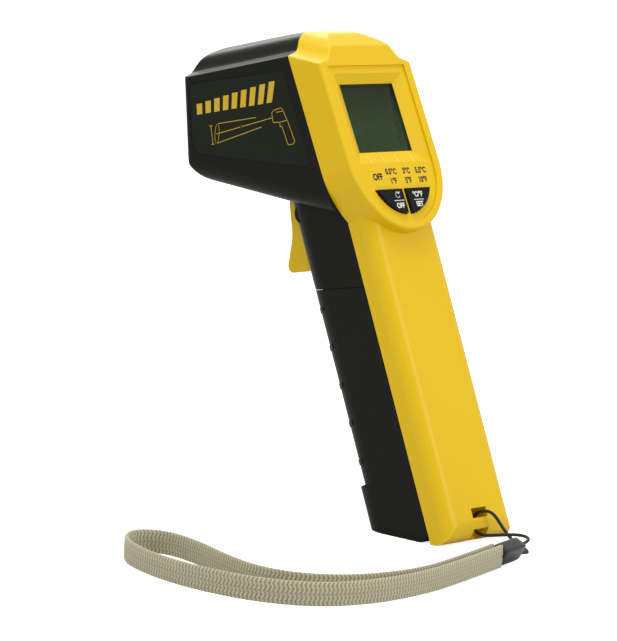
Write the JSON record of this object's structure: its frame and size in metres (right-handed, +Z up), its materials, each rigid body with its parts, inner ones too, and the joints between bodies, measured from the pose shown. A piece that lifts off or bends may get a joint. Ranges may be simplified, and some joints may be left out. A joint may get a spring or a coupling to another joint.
{
  "type": "infrared thermometer",
  "caption": "Handheld infrared thermometer with a pistol grip, sloping display face, trigger, hinged battery door and a woven wrist strap.",
  "frame": {"origin": "centre of the object's footprint on the surface it stands on, the strap left out", "axes": "+Z up along the height, +Y forward in the direction it measures, +X to the user's right"},
  "size_m": [0.1549, 0.1595, 0.1554],
  "materials": {
    "shell_yellow": "satin",
    "shell_black": "satin",
    "label_film": "semi-gloss",
    "button_black": "gloss",
    "cord_black": "braided",
    "lens_plastic": "translucent",
    "clear_plastic": "clear",
    "display_glass": "smooth",
    "inner_black": "matt",
    "inner_white": "matt",
    "board_green": "solder mask",
    "strip_rubber": "matt",
    "steel": "plain",
    "lamp_red": "clear",
    "battery_case": "gloss",
    "wire_cover": "smooth",
    "strap_weave": "woven",
    "strap_clip": "gloss"
  },
  "bodies": {
    "housing": {"rear_housing": "shell_yellow", "front_housing": "shell_black", "nose_ring": "inner_black", "infrared_lens": "lens_plastic", "sensor_tube": "inner_black", "thermopile_sensor": "steel", "sensor_board": "board_green", "spot_lens": "clear_plastic", "spot_lamp": "lamp_red", "label_left": "label_film", "label_right": "label_film", "display_window": "clear_plastic", "display_panel": "display_glass", "display_frame": "inner_white", "contact_strips": "strip_rubber", "main_board": "board_green", "board_screws": "steel", "dome_switches": "inner_black", "buzzer": "inner_black", "processor_chip": "inner_black", "trigger_pin": "steel", "trigger_spring": "steel", "trigger_switch": "inner_black", "switch_board": "board_green", "battery_tray": "inner_black", "tray_screws": "steel", "door_hinge_pin": "steel", "battery": "battery_case", "battery_snap": "inner_black", "battery_leads": "wire_cover", "strap_cord": "cord_black", "strap_ferrule": "strap_clip", "strap_band": "strap_weave"},
    "trigger": {"trigger": "shell_yellow"},
    "mode_button": {"mode_button": "button_black"},
    "unit_button": {"unit_button": "button_black"},
    "battery_door": {"battery_door": "shell_black"}
  },
  "joints": [
    {"name": "trigger_pull", "type": "hinge", "parent": "housing", "child": "trigger", "pos_m": [0, 0.01025, 0.0972], "axis": [-1, 0, 0], "range_deg": [0, 8], "stiffness_Nm_per_rad": 0.4, "springref_deg": -5.73, "deforming": ["trigger_spring"]},
    {"name": "mode_press", "type": "slide", "parent": "housing", "child": "mode_button", "axis": [0, 0.8949, -0.4462], "range_m": [0, 0.0005], "stiffness_N_per_m": 2000, "springref_m": -0.0002},
    {"name": "unit_press", "type": "slide", "parent": "housing", "child": "unit_button", "axis": [0, 0.8949, -0.4462], "range_m": [0, 0.0005], "stiffness_N_per_m": 2000, "springref_m": -0.0002},
    {"name": "door_swing", "type": "hinge", "parent": "housing", "child": "battery_door", "pos_m": [0, -0.04757, 0.0028], "axis": [-1, 0, 0], "range_deg": [0, 70]}
  ]
}
